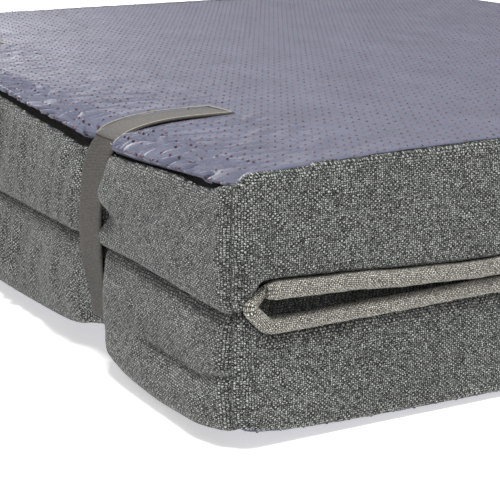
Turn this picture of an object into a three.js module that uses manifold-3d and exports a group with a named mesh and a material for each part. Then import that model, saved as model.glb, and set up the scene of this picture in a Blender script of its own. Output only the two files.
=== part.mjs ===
// A folding kneeling pad, shut. Two foam-filled halves lie knee face to knee face and are joined
// along one long side by a cloth hinge. Each half is a boxed cover: a non-slip base panel on its outer
// face, four cloth walls, a knee panel on its inner face, piping round the knee panel, and a zip
// between the base panel and the hinge-side wall. Two straps run over the hinge side: each is sewn
// under the lower half and ends in a hook-tape tail that presses onto a loop patch on the upper half.
//
// Millimetres. X runs from the hinge side (-X) to the free side (+X), Y along the hinge, Z up.
// The origin is the middle of the face that the pad rests on.
import * as THREE from 'three';
import { mergeVertices } from 'three/addons/utils/BufferGeometryUtils.js';
import Module from 'manifold-3d';

const wasm = await Module();
wasm.setup();

// Driving dimensions.
const FOLDED_HEIGHT = 90;
const HALF_LENGTH = 376; // one half, from its hinge-side wall to its free wall
const HALF_WIDTH = 452; // along the hinge
const CORNER_RADIUS = 10;
const GAP = 0.3; // clearance between neighbouring pieces

const WALL_THICKNESS = 2.5; // cloth with its wadding
const BASE_THICKNESS = 3.6;
const KNEE_THICKNESS = 2.7;
const PIPING_RADIUS = 3;
const PIPING_INSET = 2; // from a wall's outer face to the piping's centre line
const PIPING_PARTING = 1.4; // air between the two pipings when the pad is shut
const HINGE_PARTING = 1.2; // air between the two halves of the hinge web

const STRAP_WIDTH = 20;
const STRAP_THICKNESS = 1.2;
const STRAP_FROM_END = 107; // strap's centre line, from the near or far wall
const STRAP_REACH = 62; // how far strap and tail run in over the outer faces
const STRAP_SEAM = 5.5; // hinge-side wall to the seam between strap and tail
const STRAP_BEND = 1.5; // rounding of the strap's outer corner
const TAIL_THICKNESS = 1;
const TAIL_POINT = 5; // length of the tail's pointed end
const LOOP_THICKNESS = 0.6;
const LOOP_START = 2; // from the strap's seam to the loop patch
const LOOP_MARGIN = 1; // how much shorter than the tail the loop patch is at its far end
const LOOP_SIDE_MARGIN = 0.5;
const SEWN_CHANNEL = 1.8; // channel depth under a sewn strap
const TAIL_CHANNEL = 2.4; // channel depth under tail and loop patch
const STRAP_RECESS = 0.3; // strap's outer face below the base panel's face
const TAIL_RECESS = 0.2;

const ZIP_HALF_RUN = 216; // half the length of the slot that the zip lies in
const ZIP_BAND = 5.5; // height of that slot
const TAPE_DEPTH = 5.4; // wall's outer face to the zip tape
const TAPE_THICKNESS = 0.6;
const COIL_WIDTH = 2.4;
const COIL_THICKNESS = 1.3;
const SLIDER_LENGTH = 9;
const SLIDER_WIDTH = 4.2;
const SLIDER_PLATE = 1;
const SLIDER_TAPER = 2; // length of the slider's narrowed ends
const SLIDER_NOSE = 0.9; // how much narrower the slider is on each side where the zip opens
const SLIDER_TOE = 0.5; // the same at its other end
const EAR_HALF_LENGTH = 0.9; // the ears hold the puller's pin
const EAR_INNER = 0.85; // from the zip's centre line
const EAR_OUTER = 1.45;
const EAR_REACH = 0.7; // past the pin
const STOP_LENGTH = 2;
const SLIDER_REST = 200; // slider's place along the hinge when the zip is shut
const PULLER_LENGTH = 13;
const PULLER_WIDTH = 3;
const PULLER_THICKNESS = 0.8;
const PIN_RADIUS = 0.35;
const PIN_CLEARANCE = 0.25;
const RING_WALL = 0.5;
const RING_HALF = 0.6; // half the width of the puller's ring and neck
const EYE_RADIUS = 0.8;
const EYE_FROM_END = 2.2;
const OVERLAP = 0.2; // how far solids that are joined run into each other
const OVERCUT = 1; // how far a cutting block runs past what it cuts

// Derived places, for a half that lies with its base panel down at z = 0.
const X_HINGE_WALL = -HALF_LENGTH / 2;
const X_FREE_WALL = HALF_LENGTH / 2;
const Y_WALL = HALF_WIDTH / 2;
const MID_HEIGHT = FOLDED_HEIGHT / 2;
const PIPING_HEIGHT = MID_HEIGHT - PIPING_PARTING / 2 - PIPING_RADIUS;
const KNEE_TOP = PIPING_HEIGHT - GAP;
const KNEE_BOTTOM = KNEE_TOP - KNEE_THICKNESS;
const WALL_BOTTOM = BASE_THICKNESS + GAP;
const WALL_TOP = KNEE_BOTTOM - GAP;
const STRAIGHT_X = HALF_LENGTH - 2 * CORNER_RADIUS;
const STRAIGHT_Y = HALF_WIDTH - 2 * CORNER_RADIUS;
const WEB_TOP = MID_HEIGHT - HINGE_PARTING / 2;
const ZIP_BAND_TOP = BASE_THICKNESS + ZIP_BAND;
const ZIP_HEIGHT = (WALL_BOTTOM + ZIP_BAND_TOP) / 2;
const TAPE_X = X_HINGE_WALL + TAPE_DEPTH;
const COIL_X = TAPE_X - GAP - COIL_THICKNESS;
const PLATE_X = COIL_X - GAP - SLIDER_PLATE;
const COIL_HALF_RUN = SLIDER_REST + SLIDER_LENGTH / 2 + GAP;
const RING_INNER = PIN_RADIUS + PIN_CLEARANCE;
const RING_OUTER = RING_INNER + RING_WALL;
const PIN_X = PLATE_X - RING_OUTER - OVERLAP;
const STRAP_PLACES = [
  ['near', -Y_WALL + STRAP_FROM_END],
  ['far', Y_WALL - STRAP_FROM_END],
];

const MATERIALS = {
  grey_cloth: { color: 0x70736f, roughness: 0.95 },
  dotted_cloth: { color: 0x7d7e8e, roughness: 0.7 },
  piping_cloth: { color: 0xa5a297, roughness: 0.9 },
  foam: { color: 0xd9d5c8, roughness: 1 },
  strap_webbing: { color: 0x736c64, roughness: 0.8 },
  hook_tape: { color: 0x968f82, roughness: 0.85 },
  zip_black: { color: 0x141416, roughness: 0.6 },
  zip_metal: { color: 0x2a2a2c, roughness: 0.4, metalness: 0.7 },
};

function part(name, geometry, material) {
  const mesh = new THREE.Mesh(geometry, new THREE.MeshStandardMaterial(MATERIALS[material]));
  mesh.name = name;
  return mesh;
}

// three.js geometry to a manifold solid and back.
function solid(geometry) {
  const bare = geometry.clone();
  bare.deleteAttribute('normal');
  bare.deleteAttribute('uv');
  const merged = mergeVertices(bare, 1e-4);
  const triVerts = new Uint32Array(merged.index.array);
  const vertProperties = merged.attributes.position.array;
  return new wasm.Manifold(new wasm.Mesh({ numProp: 3, vertProperties, triVerts }));
}

function surface(manifold) {
  const mesh = manifold.getMesh();
  const geometry = new THREE.BufferGeometry();
  geometry.setAttribute('position', new THREE.BufferAttribute(new Float32Array(mesh.vertProperties), 3));
  geometry.setIndex(new THREE.BufferAttribute(new Uint32Array(mesh.triVerts), 1));
  geometry.computeVertexNormals();
  return geometry;
}

// A box by its lowest and highest corners.
function block([x0, y0, z0], [x1, y1, z1]) {
  const box = new THREE.BoxGeometry(x1 - x0, y1 - y0, z1 - z0);
  return box.translate((x0 + x1) / 2, (y0 + y1) / 2, (z0 + z1) / 2);
}

// An outline in XY, made solid from z0 to z1.
function slab(outline, z0, z1) {
  const options = { depth: z1 - z0, bevelEnabled: false, curveSegments: 5 };
  return new THREE.ExtrudeGeometry(outline, options).translate(0, 0, z0);
}

// An outline in XZ, made solid from y0 to y1.
function sweepAlongY(outline, y0, y1) {
  const options = { depth: y1 - y0, bevelEnabled: false, curveSegments: 4 };
  return new THREE.ExtrudeGeometry(outline, options).rotateX(Math.PI / 2).translate(0, y1, 0);
}

function roundedRectangle(x0, x1, y0, y1, radius) {
  const outline = new THREE.Shape();
  outline.moveTo(x0 + radius, y0);
  outline.lineTo(x1 - radius, y0);
  outline.absarc(x1 - radius, y0 + radius, radius, -Math.PI / 2, 0);
  outline.lineTo(x1, y1 - radius);
  outline.absarc(x1 - radius, y1 - radius, radius, 0, Math.PI / 2);
  outline.lineTo(x0 + radius, y1);
  outline.absarc(x0 + radius, y1 - radius, radius, Math.PI / 2, Math.PI);
  outline.lineTo(x0, y0 + radius);
  outline.absarc(x0 + radius, y0 + radius, radius, Math.PI, 1.5 * Math.PI);
  return outline;
}

// The block of foam inside one half, cut back along its hinge side to make room for the zip.
function foamCore() {
  const inset = WALL_THICKNESS + GAP;
  const outline = roundedRectangle(
    X_HINGE_WALL + inset,
    X_FREE_WALL - inset,
    -Y_WALL + inset,
    Y_WALL - inset,
    CORNER_RADIUS - inset,
  );
  const core = solid(slab(outline, WALL_BOTTOM, WALL_TOP));
  const zipRoom = block(
    [X_HINGE_WALL, -Y_WALL, 0],
    [TAPE_X + TAPE_THICKNESS + GAP, Y_WALL, ZIP_BAND_TOP + GAP],
  );
  return surface(core.subtract(solid(zipRoom)));
}

// The outer face of one half, with a channel for each strap.
function basePanel(channelDepth) {
  const outline = roundedRectangle(X_HINGE_WALL, X_FREE_WALL, -Y_WALL, Y_WALL, CORNER_RADIUS);
  let panel = solid(slab(outline, 0, BASE_THICKNESS));
  for (const [, y] of STRAP_PLACES) {
    const halfWidth = STRAP_WIDTH / 2 + GAP;
    const channel = block(
      [X_HINGE_WALL - OVERCUT, y - halfWidth, -OVERCUT],
      [X_HINGE_WALL + STRAP_REACH + GAP, y + halfWidth, channelDepth],
    );
    panel = panel.subtract(solid(channel));
  }
  return surface(panel);
}

// The inner face of one half, inside its piping.
function kneePanel() {
  const inset = PIPING_INSET + PIPING_RADIUS + GAP;
  const outline = roundedRectangle(
    X_HINGE_WALL + WALL_THICKNESS + GAP,
    X_FREE_WALL - inset,
    -Y_WALL + inset,
    Y_WALL - inset,
    CORNER_RADIUS,
  );
  return slab(outline, KNEE_BOTTOM, KNEE_TOP);
}

// One wall, its outer face on y = 0, with half of the corner at each end. run is its straight length.
function wallStrip(run) {
  const centreY = -CORNER_RADIUS;
  const inner = CORNER_RADIUS - WALL_THICKNESS;
  const seam = GAP / 2 / inner;
  const from = Math.PI / 4 + seam;
  const to = Math.PI - from;
  const outline = new THREE.Shape();
  outline.absarc(run / 2, centreY, CORNER_RADIUS, from, Math.PI / 2);
  outline.absarc(-run / 2, centreY, CORNER_RADIUS, Math.PI / 2, to);
  outline.absarc(-run / 2, centreY, inner, to, Math.PI / 2, true);
  outline.absarc(run / 2, centreY, inner, Math.PI / 2, from, true);
  return slab(outline, WALL_BOTTOM, WALL_TOP);
}

// A wall is turned so that its outer face looks the way that turn says, about +Z from +Y.
function wall(name, run, distance, turn) {
  const mesh = part(name, wallStrip(run), 'grey_cloth');
  mesh.rotation.z = turn;
  mesh.position.set(-Math.sin(turn) * distance, Math.cos(turn) * distance, 0);
  return mesh;
}

function hingeWall(name) {
  const strip = solid(wallStrip(STRAIGHT_Y));
  const slot = block([-ZIP_HALF_RUN, -CORNER_RADIUS, 0], [ZIP_HALF_RUN, OVERCUT, ZIP_BAND_TOP]);
  const mesh = part(name, surface(strip.subtract(solid(slot))), 'grey_cloth');
  mesh.rotation.z = Math.PI / 2;
  mesh.position.set(X_HINGE_WALL, 0, 0);
  return mesh;
}

// The piping's cord runs round three sides of the knee panel, and its ends meet the hinge.
class PipingPath extends THREE.CurvePath {
  constructor() {
    super();
    const y = Y_WALL - PIPING_INSET;
    const xEnd = X_FREE_WALL - PIPING_INSET;
    const xStart = X_HINGE_WALL + PIPING_RADIUS;
    const radius = CORNER_RADIUS - PIPING_INSET;
    const at = (px, py) => new THREE.Vector3(px, py, PIPING_HEIGHT);
    const line = (a, b) => this.add(new THREE.LineCurve3(a, b));
    const bend = (a, corner, b) => this.add(new THREE.QuadraticBezierCurve3(a, corner, b));
    line(at(xStart, -y), at(xEnd - radius, -y));
    bend(at(xEnd - radius, -y), at(xEnd, -y), at(xEnd, -y + radius));
    line(at(xEnd, -y + radius), at(xEnd, y - radius));
    bend(at(xEnd, y - radius), at(xEnd, y), at(xEnd - radius, y));
    line(at(xEnd - radius, y), at(xStart, y));
  }
}

function piping() {
  const section = new THREE.Shape();
  section.absarc(0, 0, PIPING_RADIUS, 0, 2 * Math.PI);
  const options = { extrudePath: new PipingPath(), steps: 120, curveSegments: 4 };
  return new THREE.ExtrudeGeometry(section, options);
}

// Half of the cloth hinge: the strip that stands between a hinge-side wall and the hinge line.
function hingeWeb() {
  const y = Y_WALL - CORNER_RADIUS;
  return block(
    [X_HINGE_WALL, -y, KNEE_BOTTOM],
    [X_HINGE_WALL + WALL_THICKNESS, y, WEB_TOP],
  );
}

function zipTape(z0, z1) {
  const y = ZIP_HALF_RUN - GAP;
  return block([TAPE_X, -y, z0], [TAPE_X + TAPE_THICKNESS, y, z1]);
}

function zipCoil() {
  const bevel = COIL_THICKNESS / 3;
  const outline = new THREE.Shape();
  outline.moveTo(COIL_X + COIL_THICKNESS, ZIP_HEIGHT - COIL_WIDTH / 2);
  outline.lineTo(COIL_X + COIL_THICKNESS, ZIP_HEIGHT + COIL_WIDTH / 2);
  outline.lineTo(COIL_X + bevel, ZIP_HEIGHT + COIL_WIDTH / 2);
  outline.lineTo(COIL_X, ZIP_HEIGHT + COIL_WIDTH / 2 - bevel);
  outline.lineTo(COIL_X, ZIP_HEIGHT - COIL_WIDTH / 2 + bevel);
  outline.lineTo(COIL_X + bevel, ZIP_HEIGHT - COIL_WIDTH / 2);
  return sweepAlongY(outline, -COIL_HALF_RUN, COIL_HALF_RUN);
}

// A stop is crimped on past each end of the coil. side is -1 or 1 along Y.
function zipStop(side) {
  const inner = COIL_HALF_RUN + GAP;
  const outer = inner + STOP_LENGTH;
  const halfWidth = COIL_WIDTH / 2;
  return block(
    [COIL_X, Math.min(side * inner, side * outer), ZIP_HEIGHT - halfWidth],
    [TAPE_X - GAP, Math.max(side * inner, side * outer), ZIP_HEIGHT + halfWidth],
  );
}

// The slider's plate over the coil, its side flanges, and the pin that its puller hangs on.
function zipSlider() {
  const half = SLIDER_LENGTH / 2;
  const nose = half - SLIDER_TAPER;
  const edge = SLIDER_WIDTH / 2;
  const outline = new THREE.Shape();
  outline.moveTo(-half, -edge + SLIDER_TOE);
  outline.lineTo(-nose, -edge);
  outline.lineTo(nose, -edge);
  outline.lineTo(half, -edge + SLIDER_NOSE);
  outline.lineTo(half, edge - SLIDER_NOSE);
  outline.lineTo(nose, edge);
  outline.lineTo(-nose, edge);
  outline.lineTo(-half, edge - SLIDER_TOE);
  const depth = TAPE_X - GAP - PLATE_X;
  const options = { depth, bevelEnabled: false };
  // The outline's x becomes Y and its y becomes Z, and the plate's depth runs along +X.
  const body = new THREE.ExtrudeGeometry(outline, options);
  body.applyMatrix4(new THREE.Matrix4().set(0, 0, 1, 0, 1, 0, 0, 0, 0, 1, 0, 0, 0, 0, 0, 1));
  body.translate(PLATE_X, 0, ZIP_HEIGHT);
  const grooveHalf = COIL_WIDTH / 2 + GAP;
  const groove = block(
    [COIL_X - GAP, -SLIDER_LENGTH, ZIP_HEIGHT - grooveHalf],
    [TAPE_X, SLIDER_LENGTH, ZIP_HEIGHT + grooveHalf],
  );
  let slider = solid(body).subtract(solid(groove));
  for (const side of [-1, 1]) {
    const z0 = ZIP_HEIGHT + Math.min(side * EAR_INNER, side * EAR_OUTER);
    const z1 = ZIP_HEIGHT + Math.max(side * EAR_INNER, side * EAR_OUTER);
    const ear = block([PIN_X - EAR_REACH, -EAR_HALF_LENGTH, z0], [PLATE_X + OVERLAP, EAR_HALF_LENGTH, z1]);
    slider = slider.add(solid(ear));
  }
  const pinLength = 2 * (EAR_INNER + OVERLAP);
  const pin = new THREE.CylinderGeometry(PIN_RADIUS, PIN_RADIUS, pinLength, 10);
  pin.rotateX(Math.PI / 2).translate(PIN_X, 0, ZIP_HEIGHT);
  return surface(slider.add(solid(pin)));
}

// The puller's ring goes round the slider's pin, and its tab lies along Y, the way that toward says.
function zipPuller(toward) {
  const ringOutline = new THREE.Shape();
  ringOutline.absarc(PIN_X, 0, RING_OUTER, 0, 2 * Math.PI);
  const hole = new THREE.Path();
  hole.absarc(PIN_X, 0, RING_INNER, 0, 2 * Math.PI, true);
  ringOutline.holes.push(hole);
  const ring = slab(ringOutline, ZIP_HEIGHT - RING_HALF, ZIP_HEIGHT + RING_HALF);
  const tabX0 = PIN_X - PULLER_THICKNESS / 2;
  const tabX1 = PIN_X + PULLER_THICKNESS / 2;
  const neckStart = (RING_INNER + RING_OUTER) / 2;
  const tabStart = 2;
  const neckEnd = tabStart + OVERCUT;
  const neck = block([tabX0, neckStart, ZIP_HEIGHT - RING_HALF], [tabX1, neckEnd, ZIP_HEIGHT + RING_HALF]);
  const tab = block(
    [tabX0, tabStart, ZIP_HEIGHT - PULLER_WIDTH / 2],
    [tabX1, PULLER_LENGTH, ZIP_HEIGHT + PULLER_WIDTH / 2],
  );
  const eye = new THREE.CylinderGeometry(EYE_RADIUS, EYE_RADIUS, 4 * PULLER_THICKNESS, 10);
  eye.rotateZ(Math.PI / 2).translate(PIN_X, PULLER_LENGTH - EYE_FROM_END, ZIP_HEIGHT);
  const puller = surface(solid(ring).add(solid(neck)).add(solid(tab)).subtract(solid(eye)));
  const turn = toward > 0 ? 0 : Math.PI;
  return puller.translate(0, 0, -ZIP_HEIGHT).rotateX(turn).translate(0, 0, ZIP_HEIGHT);
}

// A strap's stretch on one half: in over the outer face, round the edge and up to the hinge line.
function strap(innerEnd) {
  const outerX = X_HINGE_WALL - GAP - STRAP_THICKNESS;
  const innerX = X_HINGE_WALL - GAP;
  const lowZ = STRAP_RECESS;
  const highZ = STRAP_RECESS + STRAP_THICKNESS;
  const outline = new THREE.Shape();
  outline.moveTo(innerEnd, lowZ);
  outline.lineTo(innerEnd, highZ);
  outline.lineTo(innerX, highZ);
  outline.lineTo(innerX, WEB_TOP);
  outline.lineTo(outerX, WEB_TOP);
  outline.lineTo(outerX, lowZ + STRAP_BEND);
  outline.quadraticCurveTo(outerX, lowZ, outerX + STRAP_BEND, lowZ);
  return sweepAlongY(outline, -STRAP_WIDTH / 2, STRAP_WIDTH / 2);
}

// The hook-tape tail, from its seam with the strap to its pointed end.
function strapTail() {
  const start = X_HINGE_WALL + STRAP_SEAM + GAP;
  const end = X_HINGE_WALL + STRAP_REACH;
  const edge = STRAP_WIDTH / 2;
  const outline = new THREE.Shape();
  outline.moveTo(start, -edge);
  outline.lineTo(end - TAIL_POINT, -edge);
  outline.lineTo(end, 0);
  outline.lineTo(end - TAIL_POINT, edge);
  outline.lineTo(start, edge);
  return slab(outline, TAIL_RECESS, TAIL_RECESS + TAIL_THICKNESS);
}

function loopPatch() {
  const start = X_HINGE_WALL + STRAP_SEAM + LOOP_START;
  const end = X_HINGE_WALL + STRAP_REACH - LOOP_MARGIN;
  const edge = STRAP_WIDTH / 2 - LOOP_SIDE_MARGIN;
  const outer = TAIL_RECESS + TAIL_THICKNESS + GAP;
  return block([start, -edge, outer], [end, edge, outer + LOOP_THICKNESS]);
}

// One half, base panel down. side says which half, and shutEnd which way along Y its zip shuts.
function half(side, channelDepth, shutEnd) {
  const group = new THREE.Group();
  group.add(
    part(`${side}_foam_core`, foamCore(), 'foam'),
    part(`${side}_base_panel`, basePanel(channelDepth), 'dotted_cloth'),
    part(`${side}_knee_panel`, kneePanel(), 'grey_cloth'),
    hingeWall(`${side}_hinge_wall`),
    wall(`${side}_free_wall`, STRAIGHT_Y, X_FREE_WALL, -Math.PI / 2),
    part(`${side}_piping`, piping(), 'piping_cloth'),
    part(`${side}_hinge_web`, hingeWeb(), 'grey_cloth'),
    part(`${side}_zip_tape_base`, zipTape(WALL_BOTTOM, ZIP_HEIGHT - GAP / 2), 'zip_black'),
    part(`${side}_zip_tape_wall`, zipTape(ZIP_HEIGHT + GAP / 2, ZIP_BAND_TOP - GAP), 'zip_black'),
    part(`${side}_zip_coil`, zipCoil(), 'zip_black'),
    part(`${side}_zip_top_stop`, zipStop(shutEnd), 'zip_metal'),
    part(`${side}_zip_bottom_stop`, zipStop(-shutEnd), 'zip_metal'),
  );
  const slider = part(`${side}_zip_slider`, zipSlider(), 'zip_metal');
  const puller = part(`${side}_zip_puller`, zipPuller(-shutEnd), 'zip_metal');
  slider.position.y = shutEnd * SLIDER_REST;
  puller.position.y = shutEnd * SLIDER_REST;
  group.add(slider, puller);
  return group;
}

const pad = new THREE.Group();

const lower = half('lower', SEWN_CHANNEL, 1);
const nearLower = wall('lower_near_wall', STRAIGHT_X, Y_WALL, Math.PI);
const farLower = wall('lower_far_wall', STRAIGHT_X, Y_WALL, 0);
lower.add(nearLower, farLower);

// The upper half is the lower one turned over about the X axis, so its near side is its local +Y.
const upper = half('upper', TAIL_CHANNEL, -1);
const nearUpper = wall('upper_near_wall', STRAIGHT_X, Y_WALL, 0);
const farUpper = wall('upper_far_wall', STRAIGHT_X, Y_WALL, Math.PI);
upper.add(nearUpper, farUpper);
upper.rotation.x = Math.PI;
upper.position.z = FOLDED_HEIGHT;

for (const [end, y] of STRAP_PLACES) {
  const sewn = part(`${end}_strap_lower`, strap(X_HINGE_WALL + STRAP_REACH), 'strap_webbing');
  sewn.position.y = y;
  lower.add(sewn);
  const onUpper = [
    part(`${end}_strap_upper`, strap(X_HINGE_WALL + STRAP_SEAM), 'strap_webbing'),
    part(`${end}_strap_tail`, strapTail(), 'hook_tape'),
    part(`${end}_loop_patch`, loopPatch(), 'hook_tape'),
  ];
  for (const mesh of onUpper) {
    mesh.position.y = -y;
    upper.add(mesh);
  }
}

pad.add(lower, upper);

export default pad;
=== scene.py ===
from math import cos, pi, radians, sin, sqrt, tau

import bmesh
import bpy
import numpy as np
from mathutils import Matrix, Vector


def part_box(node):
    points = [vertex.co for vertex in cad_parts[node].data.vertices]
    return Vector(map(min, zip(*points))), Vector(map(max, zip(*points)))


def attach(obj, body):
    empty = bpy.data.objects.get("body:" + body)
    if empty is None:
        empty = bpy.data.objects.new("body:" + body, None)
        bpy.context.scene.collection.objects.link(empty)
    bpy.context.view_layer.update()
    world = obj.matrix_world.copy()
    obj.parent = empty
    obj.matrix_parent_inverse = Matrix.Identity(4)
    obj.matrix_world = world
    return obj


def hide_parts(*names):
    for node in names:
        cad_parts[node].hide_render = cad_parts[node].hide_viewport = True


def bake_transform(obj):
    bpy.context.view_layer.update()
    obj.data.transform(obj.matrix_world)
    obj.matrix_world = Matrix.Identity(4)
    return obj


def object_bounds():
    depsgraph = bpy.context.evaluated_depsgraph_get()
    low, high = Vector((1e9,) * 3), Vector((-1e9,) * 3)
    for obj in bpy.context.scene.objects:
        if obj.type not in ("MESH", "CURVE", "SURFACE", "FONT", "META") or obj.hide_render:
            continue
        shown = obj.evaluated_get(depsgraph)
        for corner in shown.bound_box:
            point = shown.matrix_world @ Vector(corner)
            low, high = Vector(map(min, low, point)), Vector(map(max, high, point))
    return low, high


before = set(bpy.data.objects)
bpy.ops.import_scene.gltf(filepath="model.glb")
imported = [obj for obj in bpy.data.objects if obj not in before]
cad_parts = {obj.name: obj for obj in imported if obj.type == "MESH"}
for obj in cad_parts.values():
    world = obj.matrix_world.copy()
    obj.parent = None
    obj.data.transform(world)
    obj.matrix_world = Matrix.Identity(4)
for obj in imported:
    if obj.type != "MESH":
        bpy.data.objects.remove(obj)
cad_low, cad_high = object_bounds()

# --- Driving sizes, in millimetres: x runs from the hinge side to the free side, y from the near end
# to the far end, and z up from the ground. ---
MM = 0.001
X_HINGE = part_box("lower_hinge_wall")[0].x
Y_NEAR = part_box("lower_near_wall")[0].y


def pad_box(node):
    """The low and high corners of a CAD node, in the pad's own coordinates."""
    corners = np.array([tuple(corner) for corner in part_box(node)])
    return (corners - (X_HINGE, Y_NEAR, 0)) / MM


LENGTH = pad_box("lower_free_wall")[1, 0]
WIDTH = pad_box("lower_far_wall")[1, 1]
HEIGHT = (cad_high.z - cad_low.z) / MM
STRAP_WIDTH = np.ptp(pad_box("near_strap_upper")[:, 1])
STRAP_Y = pad_box("near_strap_upper")[:, 1].mean()
TAIL_END = pad_box("near_strap_tail")[1, 0]
PIPING_RADIUS = np.ptp(pad_box("lower_piping")[:, 2]) / 2
SLIDER_Y, SLIDER_HEIGHT = pad_box("upper_zip_slider").mean(axis=0)[1:]
COIL_X = pad_box("upper_zip_coil")[:, 0].mean()
TAPE_X = pad_box("upper_zip_tape_wall")[0, 0]
ZIP_START = pad_box("upper_zip_coil")[0, 1]

CORNER_RADIUS = 8.0
CORNER_SEAM = radians(38)  # from the hinge wall's normal to the seam in the corner
SHOULDER = 13.0  # width of the dotted panel's rounded edge over the zip
EDGE_ROLL = 6.0  # width of its rounded edge on the other sides
CLOTH = 0.9  # thickness of the cover cloth
PIPING_INSET = 0.2  # wall plane to the piping's centre line
PIPING_SWELL = {"upper": 1.02, "lower": 0.92}  # the covered cord's radius over the plain one's
PIPING_END = 12.0  # where the piping turns up at the hinge
SPREAD_REACH = 98.0  # how far in from the hinge the two halves stand apart
SEAM_TURN = 2.2  # how far the cloth turns in at a seam
FINE, COARSE = 1.05, 5.0  # mesh spacing near the hinge and far from it
SCENE = bpy.context.scene
UP = {"lower": -1, "upper": 1}  # which way each half's outer face looks


def ease(value, start, end):
    """0 before start, 1 after end and smooth between them."""
    t = np.clip((value - start) / (end - start), 0, 1)
    return t * t * (3 - 2 * t)


def bump(value, centre, width):
    return np.exp(-((value - centre) / width) ** 2)


def from_end(y):
    """Distance from the nearer end of the pad."""
    return np.minimum(y, WIDTH - y)


def run(y, points, blur=5.0):
    """A soft line through (distance from the nearer end, value) points."""
    where, values = zip(*points)
    steps = np.linspace(-blur, blur, 9)
    return np.mean([np.interp(from_end(y) + step, where, values) for step in steps], axis=0)


def ripples(u, v, size, seed, waves=9, slant=1.0):
    """A smooth random field from -1 to 1, with features of about that size along u; slant stretches v."""
    random = np.random.default_rng(seed)
    total = np.zeros(np.broadcast(u, v).shape)
    for _ in range(waves):
        turn = random.uniform(0, tau)
        pitch = size * random.uniform(0.7, 1.5)
        phase = random.uniform(0, tau)
        along = u * cos(turn) + v * sin(turn) / slant
        total = total + np.sin(tau * along / pitch + phase)
    return total / sqrt(waves * 0.5) / 1.6


def gathers(y, x, pitch, seed):
    """Sharp-bottomed folds that run in from an edge along y, with uneven spacing."""
    shift = 1.1 * ripples(y, x, 34, seed) + 0.5 * ripples(y, x, 13, seed + 1)
    wave = np.sin(tau * (y + 0.28 * x) / pitch + 2.2 * shift)
    return np.abs(wave) - 0.6


# --- The shape of the soft pad. Depth is the distance in from a half's outer, dotted face. ---
LEVEL = {"upper": 0.7, "lower": 0.8}
WELT = {"upper": 2.3, "lower": 0.0}  # how far the dotted face swells up beside its seams
HINGE_DROP = {
    "upper": ((0, 4.6), (25, 4.2), (60, 4.2), (88, 4.8), (107, 5.4), (133, 4.6), (161, 3.3), (196, 1.6),
              (226, 1.3)),
    "lower": ((0, 4.5), (20, 3.2), (46, 1.6), (70, 2.5), (88, 5), (107, 7), (130, 6), (200, 4), (226, 4)),
}
STRAP_DIP = {"upper": 1.0, "lower": 4.0}
STRAP_PULL = 7.0  # how far the strap pulls the hinge side in
GATHER_PITCH = 12.6  # of the folds along the zip's edge
GATHER_DEPTH = {"upper": 4.3, "lower": 0.5}
DRAG_PITCH, DRAG_DEPTH = 21.0, 1.9  # the long folds that run in from the hinge side
RIDGE_PITCH, RIDGE_HEIGHT = 1.9, 0.10  # the fine ridges along the panel
WALL_BELLY, HINGE_BELLY = 0.9, 0.5  # how far all walls swell, and how much more the hinge-side ones
WALL_WAVE = 0.45  # height of the walls' long waves
CREASE_TUCK = {"upper": 5.2, "lower": 4.6}  # how far the hinge-side walls turn in at the crease
PIPING_TUCK = 4.4  # how far the other walls turn in at the piping
CORNER_PINCH = 3.4  # how far the corner seams lie below the walls
UPRIGHT_FOLD = 1.2  # height of the upright folds between the straps
PANEL_EDGE = {
    "upper": ((0, 5.6), (27, 6.9), (56, 8.7), (88, 10.6), (107, 12.5), (133, 7.4), (161, 4.9), (196, 1.6),
              (226, 1.2)),
    "lower": ((0, 6.6), (12, 5.2), (20, 4.6), (46, 2.9), (70, 3.9), (88, 7.2), (107, 12.5), (130, 7.6),
              (200, 5.6), (226, 5.6)),
}
SLOT_HEIGHT = {
    "upper": ((0, 0.3), (6, 0.4), (13, 2.6), (22, 2.9), (34, 1.4), (60, 1.0), (88, 1.5), (100, 1.8),
              (112, 3.8), (226, 3.8)),
    "lower": ((0, 0.3), (30, 0.2), (226, 0.2)),
}
CREASE = ((0, 43.4), (20, 43.3), (40, 44.2), (70, 45.0), (97, 44.4), (130, 44.0), (226, 44.0))


def round_slider(free, y, beside):
    """A depth that turns, at the parked slider, into one that lies that far beside the slider."""
    parked = HEIGHT - SLIDER_HEIGHT + beside
    return free + (parked - free) * bump(y, SLIDER_Y, 16)


def panel_edge(side, y):
    """Depth of the dotted panel's edge over the zip."""
    return round_slider(run(y, PANEL_EDGE[side]), y, -2.5)


def wall_edge(side, y):
    """Depth of the hinge-side wall's edge at the zip."""
    return round_slider(run(y, PANEL_EDGE[side]) + run(y, SLOT_HEIGHT[side], 2.5), y, 2.6)


def seam_depth(side, x, y):
    """Depth of the seam round the dotted panel, away from the zip."""
    if side == "upper":
        tongue = 2.7 * bump(x, 0, 4.6)
        return 3.2 * np.exp(-x / 70) - 0.9 + tongue
    return 1.3 + 4.5 * np.exp(-x / 8) + 3.3 * np.exp(-x / 55)


def strap_gap(y):
    """Signed distance along y from the nearer strap's centre line, towards the middle of the pad."""
    return from_end(y) - STRAP_Y


def level_depth(side, x, y):
    """Depth of the dotted face away from its edges."""
    dip = STRAP_DIP[side] * bump(strap_gap(y), 2, 15) * np.exp(-np.maximum(x, 0) / 75)
    fall = run(y, HINGE_DROP[side], 12) * np.exp(-np.maximum(x, 0) / 30)
    if side == "lower":
        return LEVEL[side] + fall + dip
    swell = 0.3 * ripples(x, y, 70, 3) * ease(x, 20, 60)
    drag_lines = gathers(y, 0.4 * x, DRAG_PITCH, 5)
    by_strap = 0.35 + 0.65 * bump(strap_gap(y), 0, 70)
    folds = -DRAG_DEPTH * drag_lines * ease(x, 4, 14) * np.exp(-x / 55) * by_strap * loose_cloth(y)
    return LEVEL[side] + fall + dip + swell + folds


def loose_cloth(y):
    """0 under the straps, which press the cloth flat, and 1 away from them."""
    return ease(np.abs(strap_gap(y)), 8, 14)


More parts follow.
